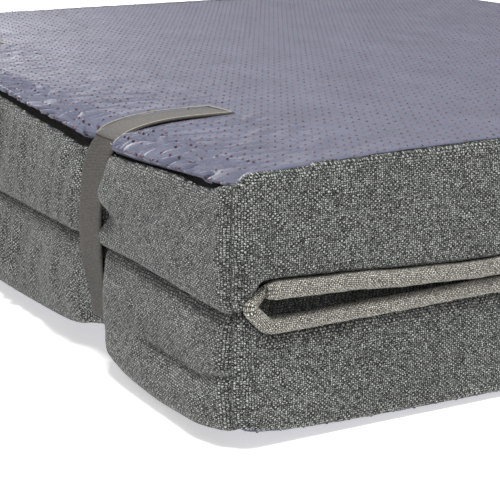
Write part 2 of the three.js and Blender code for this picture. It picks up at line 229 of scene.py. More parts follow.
def quarter(share):
    """0 to 1 round a quarter circle, for a share of 0 at its top to 1 at its edge."""
    return 1 - np.sqrt(1 - np.clip(share, 0, 1) ** 2)


def panel_depth(side, x, y):
    """Depth of the dotted panel, with x and y on the flat rectangle."""
    other = np.minimum(from_end(y), LENGTH - x)
    by_hinge = quarter(1 - x / SHOULDER)
    by_other = quarter(1 - other / EDGE_ROLL)
    rolled = 1 - (1 - by_hinge) * (1 - by_other)
    total = by_hinge + by_other + 1e-9
    edge = (panel_edge(side, y) * by_hinge + seam_depth(side, x, y) * by_other) / total
    level = level_depth(side, x, y) - WELT[side] * np.exp(-other / 16) * ease(x, 0, 60)
    return level + (edge - level) * rolled


def rounded(x, y, inset=0.0):
    """Moves points of the flat rectangle so that its corners are round and its edges that far in."""
    radius = CORNER_RADIUS
    core_x = np.clip(x, radius, LENGTH - radius)
    core_y = np.clip(y, radius, WIDTH - radius)
    across, along = x - core_x, y - core_y
    far = np.maximum(np.abs(across), np.abs(along))
    size = np.hypot(across, along) + 1e-9
    both = (np.abs(across) > 1e-9) & (np.abs(along) > 1e-9)
    scale = np.where(both, far / size, 1.0) * (1 - inset * (far > 0) / radius)
    return core_x + across * scale, core_y + along * scale


def outer_panel(side, x, y):
    """The dotted panel's outer surface at points of its flat rectangle."""
    depth = panel_depth(side, x, y)
    other = np.minimum(from_end(y), LENGTH - x)
    near_edge = 1 - ease(x, 3, 24)
    gather = GATHER_DEPTH[side] * gathers(y, x, GATHER_PITCH, 11) * near_edge * loose_cloth(y)
    gather = gather * ease(other, 1, 8) * ease(x, 0, 0.9)
    slope = np.clip(1 - x / SHOULDER, 0, 1)
    ridges = RIDGE_HEIGHT * np.sin(tau * x / RIDGE_PITCH) * (1 - ease(other, 3, 9)) * ease(x, 9, 14)
    depth = depth - gather * (1 - 0.75 * slope ** 2) - ridges
    flat_x, flat_y = rounded(x, y, 0.8 + SEAM_TURN * np.exp(-other / 0.12) * ease(x, 1, 4))
    overhang = 1.7 - 1.7 * bump(strap_gap(y), 0, 13) if side == "upper" else -2.6
    tuck = 1.3 * np.exp(-x / 0.5) - overhang * slope ** 1.5 * (1 - np.exp(-x / 0.8))
    lean = strap_inset(side, y, panel_edge(side, y)) * np.exp(-x / 14)
    flat_x = flat_x + (tuck - gather * slope) * ease(other, 0, 5) + lean
    return add_folds(("panel", side), x, y, flat_x, flat_y, height_of(side, depth))


def height_of(side, depth):
    return HEIGHT - depth if side == "upper" else depth


def strap_inset(side, y, depth):
    """How far the strap pulls the hinge side in, at a depth from the outer face."""
    gap = strap_gap(y)
    wide = np.where(gap < 0, bump(gap, 0, 26), bump(gap, 0, 34))
    tight = 1 - ease(np.abs(gap), 9.5, 15)
    return STRAP_PULL * (0.45 * wide + 0.55 * tight) * (1 - ease(depth, 8, 30))


def piping_height(side, x):
    """Height of the piping's centre line."""
    apart = 1 - ease(x, 8, SPREAD_REACH)
    if side == "upper":
        return HEIGHT / 2 + 2.1 + 3.8 * apart
    return HEIGHT / 2 - 4.5 - 0.9 * apart


def knee_edge(side, x, y, facing_hinge):
    """Height of the edge of the walls at the knee side. facing_hinge is 1 on the hinge side."""
    crease = run(y, CREASE)
    beside = piping_height(side, x) + UP[side] * PIPING_RADIUS * (PIPING_SWELL[side] + 0.07)
    turned = HEIGHT / 2 + (0.8 if side == "upper" else -0.2)
    beside = turned + (beside - turned) * ease(x, 2.5, PIPING_END + 0.5)
    return crease * facing_hinge + beside * (1 - facing_hinge)


# --- Cloth simulation: the covers are cut a little too big for the foam, and settle into soft folds.
# Each is simulated on its own coarse grid, and its movement is carried over to the fine cloth. ---
FOLDS = {}  # (cover, side) to (row values, column values, movement in millimetres)
FOLD_LIMIT = 3.0
TRIAL_SCALE = 10.0  # the trial cloth is simulated this much larger than life
TRIAL_FRAMES = 20
PANEL_GROWTH = 0.10  # spare cloth in the panel's gathers, as a share of its size
WALL_GROWTH, HINGE_GROWTH = 0.05, 0.09  # in all the walls, and more of it in the hinge-side ones
ON_FOAM = 0.03  # how firmly the foam holds the cloth, from 0 to 1 where it is sewn down


def cubic_weights(t):
    return np.stack([
        -0.5 * t ** 3 + t ** 2 - 0.5 * t,
        1.5 * t ** 3 - 2.5 * t ** 2 + 1,
        -1.5 * t ** 3 + 2 * t ** 2 + 0.5 * t,
        0.5 * t ** 3 - 0.5 * t ** 2,
    ], axis=-1)


def add_folds(cover, row, column, x, y, z):
    """Adds a cover's simulated movement, at its own row and column values, to a surface."""
    if cover not in FOLDS:
        return x, y, z
    row_values, column_values, movement = FOLDS[cover]
    i = np.interp(row, row_values, np.arange(len(row_values)))
    j = np.interp(column, column_values, np.arange(len(column_values)))
    first_i = np.minimum(i.astype(int), len(row_values) - 2)
    first_j = np.minimum(j.astype(int), len(column_values) - 2)
    near_i = np.clip(first_i[..., None] + np.arange(-1, 3), 0, len(row_values) - 1)
    near_j = np.clip(first_j[..., None] + np.arange(-1, 3), 0, len(column_values) - 1)
    around = movement[near_i[..., :, None], near_j[..., None, :]]
    weights = cubic_weights(i - first_i), cubic_weights(j - first_j)
    moved = np.einsum("...a,...b,...abc->...c", *weights, around)
    return x + moved[..., 0], y + moved[..., 1], z + moved[..., 2]


def settle(cover, row_values, column_values, surface, held, growth):
    """Simulates a cover from its surface function. held and growth are grids of 0 to 1 and of shares."""
    rows, columns = grid(row_values, column_values)
    points = np.stack(surface(rows, columns), axis=-1)
    faces = grid_faces(*rows.shape)
    mesh = bpy.data.meshes.new("trial_cloth")
    mesh.from_pydata((points.reshape(-1, 3) * MM * TRIAL_SCALE).tolist(), [], faces.tolist())
    trial = new_object("trial_cloth", mesh)
    most = float(growth.max())
    for name, weights in (("held", held), ("growth", growth / most)):
        group = trial.vertex_groups.new(name=name)
        for index, weight in enumerate(np.round(weights, 2).ravel()):
            group.add([index], float(weight), "REPLACE")
    cloth = trial.modifiers.new("trial", "CLOTH")
    settings = {
        "quality": 5, "mass": 0.02, "air_damping": 2, "tension_stiffness": 30,
        "compression_stiffness": 30, "shear_stiffness": 10, "bending_stiffness": 0.02,
        "vertex_group_mass": "held", "pin_stiffness": 20,
        "vertex_group_shrink": "growth", "shrink_min": 0, "shrink_max": -most,
    }
    for setting, value in settings.items():
        setattr(cloth.settings, setting, value)
    cloth.settings.effector_weights.gravity = 0
    cloth.collision_settings.use_collision = False
    cloth.point_cache.frame_start = 1
    cloth.point_cache.frame_end = TRIAL_FRAMES
    for frame_number in range(1, TRIAL_FRAMES + 1):
        SCENE.frame_set(frame_number)
    settled = trial.evaluated_get(bpy.context.evaluated_depsgraph_get()).data
    result = np.empty(len(mesh.vertices) * 3, np.float32)
    settled.vertices.foreach_get("co", result)
    movement = result.reshape(points.shape) / (MM * TRIAL_SCALE) - points
    bpy.data.objects.remove(trial)
    bpy.data.meshes.remove(mesh)
    SCENE.frame_set(1)
    movement = np.where(np.isfinite(movement), movement, 0) * (1 - held[..., None])
    size = np.linalg.norm(movement, axis=-1, keepdims=True)
    limited = FOLD_LIMIT * np.tanh(size / FOLD_LIMIT)
    FOLDS[cover] = (row_values, column_values, movement * limited / (size + 1e-9))


def settle_panel(side):
    rows = spaced(0, 2.0, 30, 6.0, LENGTH)
    columns = spaced(0, 2.2, WIDTH)
    x, y = grid(rows, columns)
    other = np.minimum(from_end(y), LENGTH - x)
    under_strap = (1 - ease(np.abs(strap_gap(y)), 10, 14)) * (1 - ease(x, 54, 60))
    held = np.clip((x < 0.5) + (1 - ease(other, 1, 4)) + under_strap, ON_FOAM, 1)
    growth = PANEL_GROWTH * (1 - ease(x, 8, 30))
    settle(("panel", side), rows, columns, lambda a, b: outer_panel(side, a, b), held, growth)


def settle_walls(side):
    rows = np.linspace(0, 1, 13)
    columns = spaced(-HALF_OUTLINE, 3.6, HALF_OUTLINE)
    share, travel = grid(rows, columns)
    place, out = outline_point(np.mod(travel, OUTLINE))
    on_hinge = hinge_share(place, out)
    under_strap = (1 - ease(np.abs(strap_gap(place[..., 1])), 11, 15)) * on_hinge
    sewn = (from_seam(travel) < 2.5) | (HALF_OUTLINE - np.abs(travel) < 2.5)
    held = np.clip((share < 0.01) + (share > 0.99) + under_strap + sewn, ON_FOAM, 1)
    growth = WALL_GROWTH + HINGE_GROWTH * on_hinge
    settle(("walls", side), rows, columns, lambda a, b: wall_surface(side, b, a), held, growth)


# --- Mesh making ---
def to_world(points):
    """Pad coordinates in millimetres to the frame's metres."""
    return np.asarray(points, float) * MM + np.array([X_HINGE, Y_NEAR, 0.0])


def new_object(name, data):
    created = bpy.data.objects.new(name, data)
    SCENE.collection.objects.link(created)
    return created


def new_mesh(name, points, faces, cloth=None, closed=True):
    """A smooth mesh; cloth holds its points' places on the flat cloth. A closed one faces outwards."""
    mesh = bpy.data.meshes.new(name)
    mesh.from_pydata(to_world(points).tolist(), [], [tuple(int(i) for i in face) for face in faces])
    if cloth is not None:
        attribute = mesh.attributes.new("cloth", "FLOAT_VECTOR", "POINT")
        attribute.data.foreach_set("vector", np.asarray(cloth, np.float32).ravel())
    mesh.validate()
    mesh.update()
    mesh.polygons.foreach_set("use_smooth", [True] * len(mesh.polygons))
    if closed:
        work = bmesh.new()
        work.from_mesh(mesh)
        bmesh.ops.recalc_face_normals(work, faces=work.faces)
        work.to_mesh(mesh)
        work.free()
    return new_object(name, mesh)


def rings_mesh(name, points, ring, cloth):
    """A closed mesh from equal rings of points, with a face over each end."""
    count = len(points)
    faces = [*grid_faces(count // ring, ring, closed=True)]
    faces += [range(ring), range(count - 1, count - ring - 1, -1)]
    return new_mesh(name, points, faces, cloth)


def grid_faces(rows, columns, closed=False, flip=False):
    """Quads of a grid of rows by columns, closed round the columns if asked."""
    index = np.arange(rows * columns).reshape(rows, columns)
    right = np.roll(index, -1, axis=1) if closed else index[:, 1:]
    left = index if closed else index[:, :-1]
    quads = np.stack([left[:-1], right[:-1], right[1:], left[1:]], axis=-1).reshape(-1, 4)
    return quads[:, ::-1] if flip else quads


def grid_piece(name, points, cloth, flip=False, thickness=CLOTH):
    """A sheet from grids of x, y and z, given a thickness on its inner side. Cloth is the flat cloth's
    own coordinates along and across, and a number for its panel."""
    cloth = np.stack([*cloth[:2], np.full(points[0].shape, float(cloth[2]))], axis=-1)
    faces = grid_faces(*points[0].shape, flip=flip)
    piece = new_mesh(name, np.stack(points, axis=-1).reshape(-1, 3), faces, cloth, closed=False)
    if thickness:
        thick = piece.modifiers.new("cloth_thickness", "SOLIDIFY")
        thick.thickness = thickness * MM
        thick.offset = -1
    return piece


def size_of_grid(points):
    """Mean size along the rows and along the columns, in metres."""
    points = np.stack(points, axis=-1)
    steps = (np.linalg.norm(np.diff(points, axis=axis), axis=2).sum(axis=axis) for axis in (1, 0))
    return tuple(step.mean() * MM for step in steps)


def travelled(line):
    """Distance along a line at each of its points."""
    return np.concatenate([[0], np.cumsum(np.linalg.norm(np.diff(line, axis=0), axis=1))])


def grid(rows, columns):
    return np.meshgrid(rows, columns, indexing="ij")


def spaced(*run):
    """Evenly spaced values, given as a start, then a spacing and an end for each stretch."""
    stretches = [run[:1]]
    for start, spacing, end in zip(run[::2], run[1::2], run[2::2]):
        count = max(1, int(round((end - start) / spacing)))
        stretches.append(np.linspace(start, end, count + 1)[1:])
    return np.concatenate(stretches)


def rolled_steps(width, count):
    """Distances in from an edge, close together at the edge, over a rounded width."""
    return width * (1 - np.cos(np.linspace(0, pi / 2, count)))


def panel_rows():
    middle = spaced(SHOULDER, 1.6, 60, COARSE, LENGTH - EDGE_ROLL)
    return np.concatenate([
        rolled_steps(SHOULDER, 12), middle[1:-1], LENGTH - rolled_steps(EDGE_ROLL, 7)[::-1],
    ])


def panel_columns():
    near = rolled_steps(EDGE_ROLL, 7)
    return np.concatenate([near, spaced(EDGE_ROLL, FINE, WIDTH - EDGE_ROLL)[1:-1], WIDTH - near[::-1]])


# --- Materials ---
class Value:
    """A shader node's output, which can be joined to others by arithmetic."""

    def __init__(self, nodes, socket):
        self.nodes = nodes
        self.socket = socket

    def __add__(self, other):
        return self.nodes.math("ADD", self, other)

    def __sub__(self, other):
        return self.nodes.math("SUBTRACT", self, other)

    def __mul__(self, other):
        return self.nodes.math("MULTIPLY", self, other)


class Nodes:
    """A material, and short ways to make and join its shader nodes."""

    def __init__(self, name, base, roughness, specular=0.5, sheen=0.0, **sockets):
        self.material = bpy.data.materials.new(name)
        self.material.use_nodes = True
        self.tree = self.material.node_tree
        self.shader = self.tree.nodes["Principled BSDF"]
        sockets.update(Base_Color=(*base, 1), Roughness=roughness)
        sockets.update(Specular_IOR_Level=specular, Sheen_Weight=sheen)
        for socket, value in sockets.items():
            self.shader.inputs[socket.replace("_", " ")].default_value = value

    def link(self, value, socket):
        if isinstance(value, Value):
            self.tree.links.new(value.socket, socket)
        else:
            socket.default_value = value

    def add(self, kind, output, values, **settings):
        """Adds a node with its inputs' values and its settings, and gives one of its outputs."""
        node = self.tree.nodes.new(kind)
        for setting, value in settings.items():
            setattr(node, setting, value)
        for socket, value in dict(values).items():
            self.link(value, node.inputs[socket])
        return Value(self, node.outputs[output])

    def math(self, operation, *values):
        return self.add("ShaderNodeMath", 0, enumerate(values), operation=operation)

    def place(self):
        """The place on the object, in metres."""
        return self.add("ShaderNodeTexCoord", "Object", {})

    def cloth(self, u_scale, v_scale):
        """The place on the flat cloth, in millimetres times a scale, and a number for its panel."""
        source = self.add("ShaderNodeAttribute", "Vector", {}, attribute_name="cloth")
        u = self.add("ShaderNodeSeparateXYZ", 0, {0: source})
        v, panel = (Value(self, u.socket.node.outputs[index]) for index in (1, 2))
        return u * u_scale, v * v_scale, panel * 17.3

    def noise(self, place, scale=1.0, detail=2.0):
        """Noise at a place, given as a vector or as its three parts."""
        if isinstance(place, tuple):
            place = self.add("ShaderNodeCombineXYZ", 0, enumerate(place))
        return self.add("ShaderNodeTexNoise", "Fac", {"Vector": place, "Scale": scale, "Detail": detail})

    def ramp(self, factor, *stops):
        """A colour ramp through stops of a place and a colour."""
        ramp = self.add("ShaderNodeValToRGB", "Color", {"Fac": factor})
        elements = ramp.socket.node.color_ramp.elements
        for index, (place, *colour) in ((0, stops[0]), (1, stops[-1])):
            elements[index].position = place
            elements[index].color = (*colour, 1)
        for place, *colour in stops[1:-1]:
            elements.new(place).color = (*colour, 1)
        return ramp

    def tint(self, first, second):
        """One colour times another."""
        values = {0: 1.0, 6: first, 7: second}
        return self.add("ShaderNodeMix", 2, values, data_type="RGBA", blend_type="MULTIPLY")

    def finish(self, colour, height, distance, strength):
        if colour is not None:
            self.link(colour, self.shader.inputs["Base Color"])
        values = {"Height": height, "Distance": distance, "Strength": strength}
        self.link(self.add("ShaderNodeBump", "Normal", values), self.shader.inputs["Normal"])
        return self.material


def plain_weave(nodes, pitch_u, pitch_v):
    """A plain weave's thread height and its yarns' light and dark: (height, shade)."""
    u, v, panel = nodes.cloth(1 / pitch_u, 1 / pitch_v)
    wobble = (nodes.noise((u * 0.12, v * 0.12, panel)) - 0.5) * 1.6
    u = u + wobble
    v = v + wobble
    warp = nodes.math("FLOOR", u)
    weft = nodes.math("FLOOR", v)
    over = nodes.math("MODULO", nodes.math("ABSOLUTE", warp + weft), 2.0)
    across_u = nodes.math("SINE", nodes.math("FRACT", u) * pi)
    across_v = nodes.math("SINE", nodes.math("FRACT", v) * pi)
    height = nodes.math("POWER", across_u * across_v, 0.6)
    warp_tone = nodes.noise((warp * 3.7, v * 0.6, panel))
    weft_tone = nodes.noise((u * 0.6, weft * 3.3, panel))
    yarn = warp_tone + over * (weft_tone - warp_tone)
    fibre = nodes.noise((u * 2.9, v * 2.9, panel))
    square = nodes.add("ShaderNodeCombineXYZ", 0, enumerate((warp, weft, panel)))
    speck = nodes.add("ShaderNodeTexWhiteNoise", "Value", {"Vector": square})
    shade = 0.5
    for part, amount in ((yarn, 0.7), (fibre, 1.9), (speck, 0.2), (over, 0.15)):
        shade = (part - 0.5) * amount + shade
    return height, shade


def grey_cloth():
    nodes = Nodes("grey_cloth", (0.162, 0.171, 0.162), 0.88, specular=0.22, sheen=0.12)
    height, shade = plain_weave(nodes, 0.83, 0.67)
    middle = (0.5, 0.080, 0.085, 0.081)
    yarn = nodes.ramp(shade, (0.27, 0.005, 0.006, 0.005), middle, (0.77, 0.50, 0.52, 0.485))
    shadow = nodes.ramp(height, (0.1, 0.06, 0.06, 0.06), (0.9, 1.35, 1.35, 1.35))
    patches = nodes.noise(nodes.cloth(0.03, 0.03), detail=4.0)
    patches = nodes.ramp(patches, (0.3, 0.9, 0.9, 0.9), (0.7, 1.12, 1.12, 1.12))
    return nodes.finish(nodes.tint(nodes.tint(yarn, shadow), patches), height, 0.00025, 0.9)


def piping_cloth():
    nodes = Nodes("piping_cloth", (0.38, 0.36, 0.31), 0.86, specular=0.25, sheen=0.1)
    height, shade = plain_weave(nodes, 0.66, 0.62)
    middle = (0.5, 0.27, 0.258, 0.22)
    yarn = nodes.ramp(shade, (0.22, 0.030, 0.028, 0.023), middle, (0.8, 0.88, 0.86, 0.78))
    shadow = nodes.ramp(height, (0.15, 0.04, 0.035, 0.03), (0.9, 1.35, 1.35, 1.35))
    return nodes.finish(nodes.tint(yarn, shadow), height, 0.0002, 0.8)


def dotted_fabric():
    nodes = Nodes("dotted_fabric", (0.13, 0.135, 0.18), 0.55, specular=0.45, sheen=0.12)
    u, v, panel = nodes.cloth(1 / 0.42, 1 / 0.42)
    weave = nodes.math("SINE", u * pi) * nodes.math("SINE", v * pi)
    streak = nodes.noise((u * 0.05, v * 0.9, panel), detail=3.0)
    cloud = nodes.noise((u * 0.012, v * 0.02, panel), detail=3.0)
    shade = streak * 0.55 + cloud * 0.45
    colour = nodes.ramp(shade, (0.3, 0.085, 0.092, 0.140), (0.7, 0.165, 0.174, 0.25))
    return nodes.finish(colour, weave * 0.3 + streak * 0.8, 0.00022, 0.5)


def strap_webbing():
    nodes = Nodes("strap_webbing", (0.17, 0.15, 0.13), 0.8, specular=0.3, sheen=0.15)
    u, v, panel = nodes.cloth(1 / 0.9, 1 / 0.55)
    rib = nodes.math("SINE", (v + u * 0.3) * tau)
    grain = nodes.noise((u * 0.5, v * 1.1, panel), detail=3.0)
    colour = nodes.ramp(rib * 0.07 + grain, (0.3, 0.038, 0.033, 0.028), (0.7, 0.094, 0.084, 0.074))
    return nodes.finish(colour, rib * 0.5 + grain * 0.6, 0.00025, 0.7)


def hook_tape():
    nodes = Nodes("hook_tape", (0.3, 0.27, 0.22), 0.85, specular=0.3, sheen=0.2)
    fuzz = nodes.noise(nodes.cloth(2.2, 1.2), detail=3.0)
    colour = nodes.ramp(fuzz, (0.3, 0.060, 0.055, 0.050), (0.72, 0.148, 0.137, 0.124))
    return nodes.finish(colour, fuzz, 0.0003, 0.7)


def zip_tape():
    nodes = Nodes("zip_tape", (0.008, 0.008, 0.009), 0.8, specular=0.3)
    u, v, panel = nodes.cloth(1 / 0.5, 1 / 0.5)
    fuzz = nodes.noise((u, v, panel), detail=3.0)
    colour = nodes.ramp(fuzz, (0.3, 0.035, 0.031, 0.029), (0.75, 0.10, 0.090, 0.084))
    return nodes.finish(colour, nodes.math("SINE", u * tau) + fuzz, 0.0001, 0.6)


def foam():
    nodes = Nodes("foam", (0.68, 0.65, 0.57), 0.95, specular=0.2)
    cells = nodes.add("ShaderNodeTexVoronoi", "Distance", {"Vector": nodes.place(), "Scale": 900.0})
    tone = nodes.noise(nodes.place(), 60.0, 3.0)
    colour = nodes.ramp(tone, (0.3, 0.60, 0.56, 0.47), (0.7, 0.74, 0.71, 0.62))
    return nodes.finish(colour, cells, 0.0004, 0.6)


def floor_paint():
    glow = {"Emission_Color": (1, 1, 1, 1), "Emission_Strength": 0.5}
    nodes = Nodes("floor_paint", (0.9, 0.9, 0.9), 0.9, specular=0.1, **glow)
    return nodes.finish(None, nodes.noise(nodes.place(), 40.0), 0.0002, 0.1)


def speckled(nodes, tone, stops, relief, distance, strength):
    """A material with one noise, of a scale and a detail, in its colour and a fine one in its relief."""
    colour = nodes.ramp(nodes.noise(nodes.place(), *tone), *stops)
    return nodes.finish(colour, nodes.noise(nodes.place(), relief), distance, strength)


def dot_rubber():
    nodes = Nodes("dot_rubber", (0.10, 0.045, 0.06), 0.3, specular=0.6)
    stops = ((0.3, 0.07, 0.028, 0.038), (0.7, 0.17, 0.065, 0.085))
    return speckled(nodes, (260.0, 2.0), stops, 2500.0, 0.00006, 0.4)


def stitch_thread():
    nodes = Nodes("stitch_thread", (0.46, 0.43, 0.36), 0.7, specular=0.3)
    stops = ((0.3, 0.33, 0.30, 0.25), (0.7, 0.56, 0.53, 0.45))
    return speckled(nodes, (1800.0, 2.0), stops, 1800.0, 0.0001, 0.5)


def dark_hardware(name, base, roughness, metallic=0.0):
    nodes = Nodes(name, base, roughness, Metallic=metallic)
    stops = ((0.45, *base), (0.8, *(3.2 * part for part in base)))
    return speckled(nodes, (900.0, 4.0), stops, 3000.0, 0.00005, 0.3)


MATERIALS = {make.__name__: make() for make in (
    grey_cloth, dotted_fabric, dot_rubber, piping_cloth, strap_webbing, hook_tape, stitch_thread,
    zip_tape, foam,
)}
MATERIALS["zip_coil"] = dark_hardware("zip_coil", (0.010, 0.010, 0.011), 0.45)
MATERIALS["zip_metal"] = dark_hardware("zip_metal", (0.020, 0.020, 0.022), 0.38, 0.7)


def dress(piece, body, slot, *nodes, material=None):
    """Gives a piece its material, named by material or else by its slot, its one body, if any, and hides
    the CAD nodes that it stands for.
    """
    piece.data.materials.append(MATERIALS[material or slot])
    if body:
        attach(piece, body)
    if nodes:
        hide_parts(*nodes)


def blend(piece, low, high):
    """Bakes a piece's transform into its mesh. The two places, low and high, are not used."""
    low, high = to_world([low, high])
    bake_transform(piece)


def cover_panel(side, name, slot, points, cloth, flip):
    """A half's stretched cover panel, from grids of its x, y and z."""
    piece = grid_piece(f"{side}_{name}_cloth", points, cloth, flip=flip)
    dress(piece, f"{side}_half", slot, f"{side}_{name}")
    size_of_grid(points)


# --- Camera and studio ---
CAMERA_AZIMUTH = radians(29.23)
CAMERA_ELEVATION = radians(14.73)
CAMERA_DISTANCE = 0.4688
LENS = 111.1
TARGET = Vector((X_HINGE + 6.5 * MM, Y_NEAR, 0.72 * HEIGHT * MM))


def aim(thing, direction):
    """Turns a camera or a light to look along a direction."""
    thing.rotation_mode = "QUATERNION"
    thing.rotation_quaternion = direction.to_track_quat("-Z", "Y")


def make_camera():
    level = cos(CAMERA_ELEVATION)
    forward = Vector((
        sin(CAMERA_AZIMUTH) * level, cos(CAMERA_AZIMUTH) * level, -sin(CAMERA_ELEVATION),
    ))
    camera = new_object("camera", bpy.data.cameras.new("camera"))
    camera.data.lens = LENS
    camera.data.clip_start = 0.01
    camera.location = TARGET - forward * CAMERA_DISTANCE
    aim(camera, forward)
    SCENE.camera = camera


def make_studio():
    world = bpy.data.worlds.new("studio")
    world.use_nodes = True
    world.node_tree.nodes["Background"].inputs["Color"].default_value = (1, 1, 1, 1)
    world.node_tree.nodes["Background"].inputs["Strength"].default_value = 0.26
    SCENE.world = world
    SCENE.view_settings.view_transform = "Standard"
    for name, place, size, energy in (
        ("key", (-0.3, -0.45, 1.9), 0.45, 36),
        ("rim", (0.1, 2.6, 0.8), 1.2, 44),
        ("fill", (-0.8, -1.7, 0.5), 1.4, 2.5),
    ):
        light = new_object(name, bpy.data.lights.new(name, "AREA"))
        light.data.shape = "SQUARE"
        light.data.size = size
        light.data.energy = energy
        light.location = place
        aim(light, Vector((0, 0, 0.04)) - Vector(place))
    half = 6.0
    corners = [(-half, -half, 0), (half, -half, 0), (half, half, 0), (-half, half, 0)]
    mesh = bpy.data.meshes.new("floor")
    mesh.from_pydata(corners, [], [(0, 1, 2, 3)])
    mesh.materials.append(floor_paint())
    new_object("floor", mesh)


# --- The dotted panels and their dots ---
DOT_PITCH = 5.0
DOT_RADIUS = 0.57
DOT_RISE = 0.34
DOT_SIDES = 6
DOT_MARGIN = 1.6
GATHER_REACH = 20.0  # from the zip's edge, where the cloth is bunched up and its dots are closer
GATHERED_SHARE = 0.74


def dotted_panel(side):
    x, y = grid(panel_rows(), panel_columns())
    points = outer_panel(side, x, y)
    cover_panel(side, "base_panel", "dotted_fabric", points, (y, x, 0), side == "upper")


def dot_places():
    """Flat places of the dots: staggered rows, a pitch apart along y, and closer where gathered."""
    row_gap = DOT_PITCH * sqrt(3) / 2
    places = []
    for row, x in enumerate(np.arange(DOT_MARGIN, LENGTH - DOT_MARGIN, row_gap)):
        pitch = DOT_PITCH * (GATHERED_SHARE if x < GATHER_REACH else 1)
        start = DOT_MARGIN + (row % 2) * pitch / 2
        along = np.arange(start, WIDTH - DOT_MARGIN, pitch)
        places.append(np.stack([np.full(along.shape, x), along], axis=-1))
    return np.concatenate(places)


def panel_dots(side):
    """The raised dots, each a low cap with two rings of points and one on top."""
    x, y = dot_places().T
    reach = 0.5
    middle = np.stack(outer_panel(side, x, y), axis=-1)
    along_x = np.stack(outer_panel(side, x + reach, y), axis=-1) - middle
    along_y = np.stack(outer_panel(side, x, y + reach), axis=-1) - middle
    along_x /= np.linalg.norm(along_x, axis=1, keepdims=True)
    normal = np.cross(along_x, along_y) * UP[side]
    normal /= np.linalg.norm(normal, axis=1, keepdims=True)
    along_y = np.cross(normal, along_x)
    angle = tau * np.arange(DOT_SIDES)[:, None] / DOT_SIDES
    offset = along_x[:, None] * np.cos(angle) + along_y[:, None] * np.sin(angle)
    middle, normal = middle[:, None], normal[:, None]
    rings = [middle + offset * DOT_RADIUS * spread + normal * DOT_RISE * rise
             for spread, rise in ((1.0, -0.15), (0.72, 0.75))]
    points = np.concatenate([*rings, middle + normal * DOT_RISE], axis=1)
    corner = np.arange(DOT_SIDES)
    after = (corner + 1) % DOT_SIDES
    sides = np.stack([corner, after, DOT_SIDES + after, DOT_SIDES + corner], axis=-1)
    caps = np.stack([DOT_SIDES + corner, DOT_SIDES + after, 0 * corner + 2 * DOT_SIDES], axis=-1)
    faces = []
    for start in range(0, points.shape[0] * points.shape[1], points.shape[1]):
        faces += [*(sides + start), *(caps + start)]
    dots = new_mesh(f"{side}_base_panel_dots", points.reshape(-1, 3), faces, closed=False)
    dress(dots, f"{side}_half", "dotted_fabric", material="dot_rubber")


# --- Walls: one strip round the half, cut at the four corner seams ---
def outline_point(travel):
    """Place and outward direction on the rounded rectangle, from the middle of the hinge side, going
    by the near end. Travel is in millimetres."""
    radius = CORNER_RADIUS
    straight_x, straight_y = LENGTH - 2 * radius, WIDTH - 2 * radius
    corners = ((radius, radius), (LENGTH - radius, radius), (LENGTH - radius, WIDTH - radius),
               (radius, WIDTH - radius), (radius, radius))
    travel = np.asarray(travel, float)
    place = np.zeros(travel.shape + (2,))
    out = np.zeros(travel.shape + (2,))
    side_out = np.array((-1.0, 0.0))
    start = -straight_y / 2
    for corner, straight in zip(corners, (straight_y, straight_x, straight_y, straight_x, straight_y)):
        heading = np.array((-side_out[1], side_out[0]))
        inside = travel >= start - 1e-9
        past = (travel[inside] - start - straight)[:, None]
        angle = np.clip(past, 0, ARC) / radius
        out[inside] = side_out * np.cos(angle) + heading * np.sin(angle)
        place[inside] = corner + radius * out[inside] + heading * np.minimum(past, 0)
        side_out = heading
        start += straight + ARC
    return place, out


ARC = CORNER_RADIUS * pi / 2
HALF_HINGE = WIDTH / 2 - CORNER_RADIUS
NEAR_HINGE_SEAM = HALF_HINGE + CORNER_RADIUS * CORNER_SEAM
NEAR_FREE_SEAM = HALF_HINGE + ARC + LENGTH - 2 * CORNER_RADIUS + ARC / 2
OUTLINE = 2 * (LENGTH + WIDTH - 4 * CORNER_RADIUS) + 4 * ARC
HALF_OUTLINE = OUTLINE / 2
WALL_ROWS = 40
WALL_RUNS = {
    "near_wall": (NEAR_HINGE_SEAM, NEAR_FREE_SEAM),
    "free_wall": (NEAR_FREE_SEAM, OUTLINE - NEAR_FREE_SEAM),
    "far_wall": (OUTLINE - NEAR_FREE_SEAM, OUTLINE - NEAR_HINGE_SEAM),
    "hinge_wall": (-NEAR_HINGE_SEAM, NEAR_HINGE_SEAM),
}


def wall_columns(start, end):
    """Travel values of a wall's columns: close together at its seams and near the hinge."""
    lips = np.array([0, 0.35, 0.9, 1.7, 2.7])
    middle = spaced(start + lips[-1], FINE if start < 0 else 2.0, end - lips[-1])
    return np.concatenate([start + lips, middle[1:-1], end - lips[::-1]])


def hinge_share(place, out):
    """1 on the hinge side, 0 on the other sides and smooth between them."""
    return ease(np.abs(out[..., 0]) * (place[..., 0] < LENGTH / 2), 0.25, 0.9)


def from_seam(travel):
    """Distance along the outline from the nearest corner seam."""
    seams = np.array(list(WALL_RUNS.values())).ravel()
    return np.abs(np.asarray(travel)[..., None] - np.concatenate([seams, seams - OUTLINE])).min(axis=-1)


